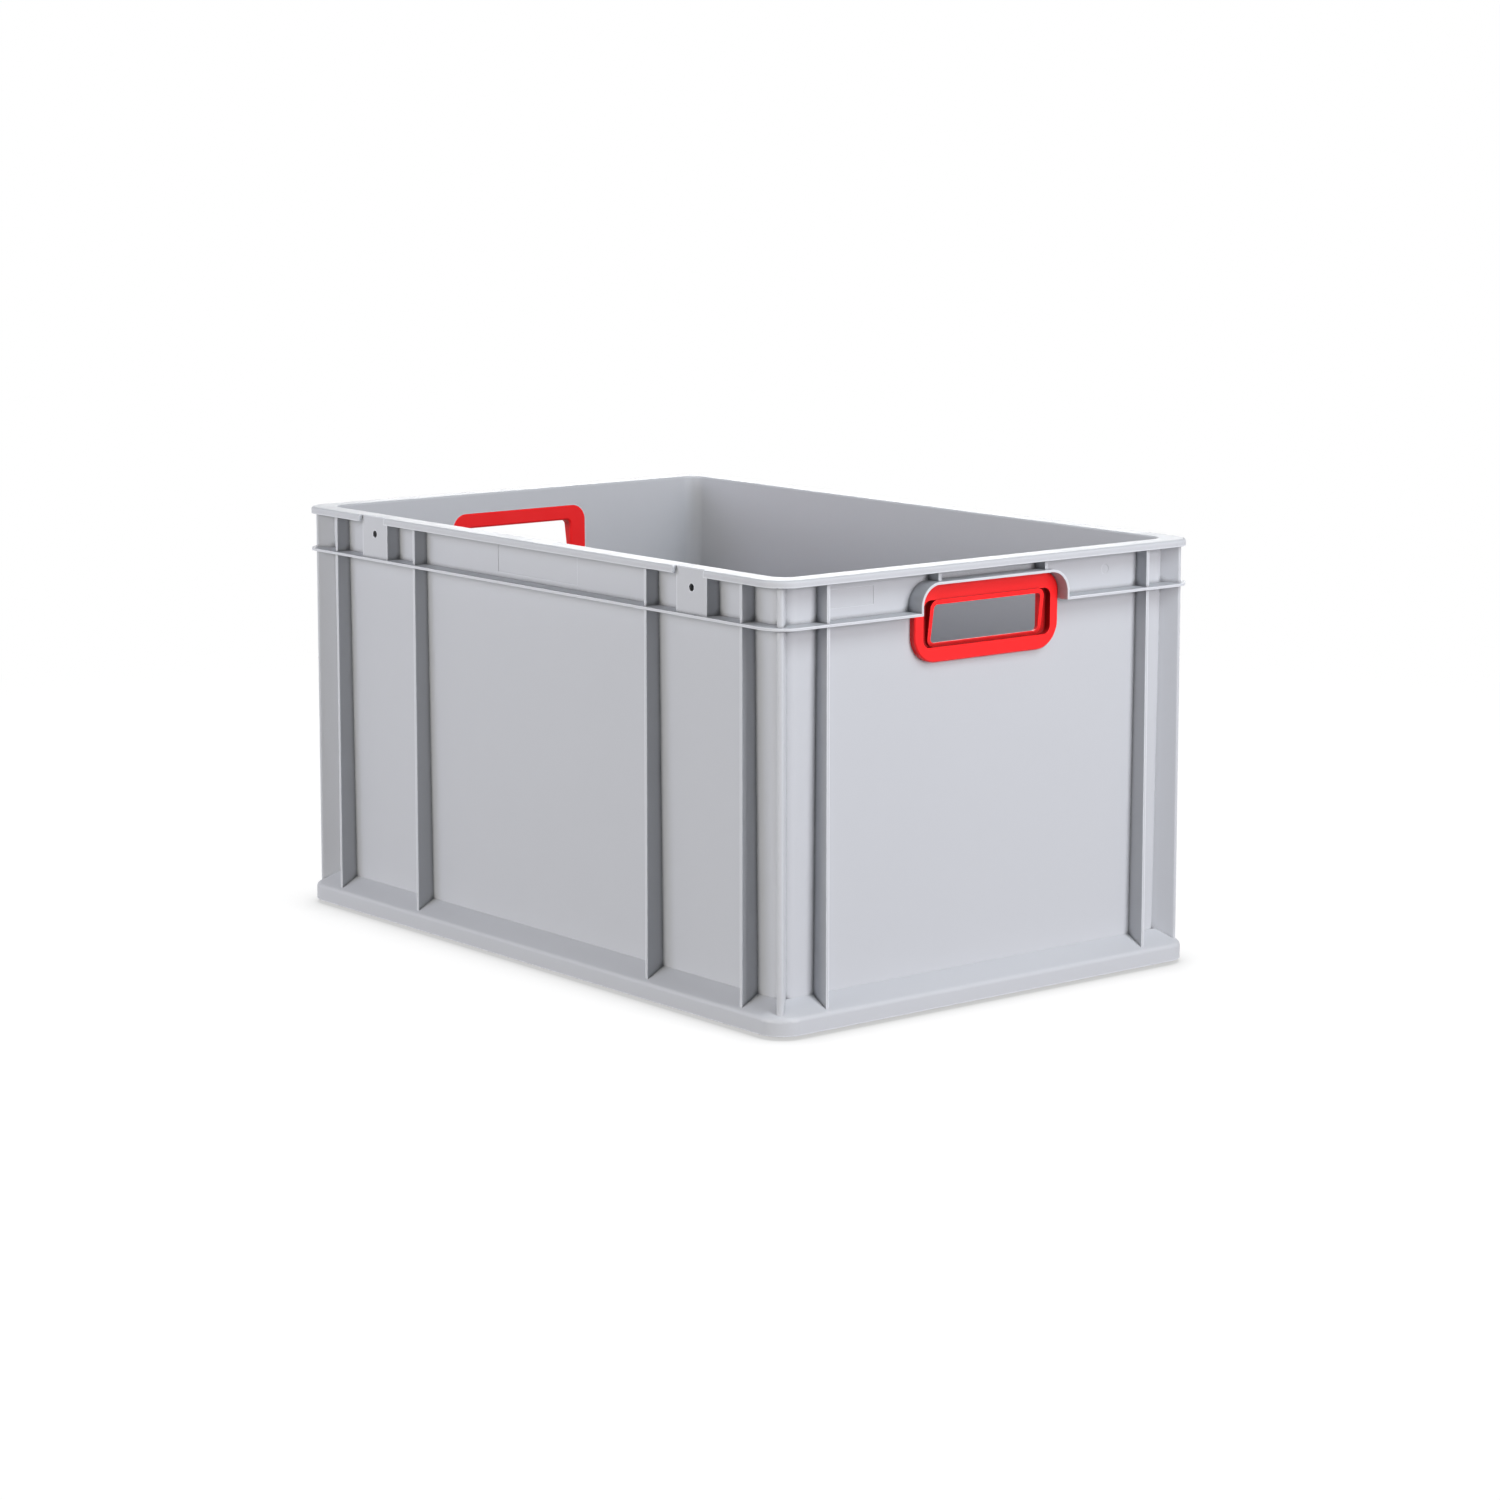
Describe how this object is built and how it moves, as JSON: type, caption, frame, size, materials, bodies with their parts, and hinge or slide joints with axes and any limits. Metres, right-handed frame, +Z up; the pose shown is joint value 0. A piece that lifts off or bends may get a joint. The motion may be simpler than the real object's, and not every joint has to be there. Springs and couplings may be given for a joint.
{
  "type": "euro stacking container",
  "caption": "Open-topped rectangular stacking container in grey plastic with ribbed walls, a sloping skirt, a band flange under the rim and a red grip with a hand hole at each end.",
  "frame": {"origin": "middle of the underside of the foot", "axes": "+X along the long side, +Y along the short side, +Z up"},
  "size_m": [0.6, 0.4, 0.32],
  "materials": {
    "grey_plastic": "satin, light grey, moulded",
    "red_plastic": "satin, red, moulded"
  },
  "bodies": {
    "root": {"container_body": "grey_plastic", "grip_right": "red_plastic", "grip_left": "red_plastic"}
  },
  "joints": []
}
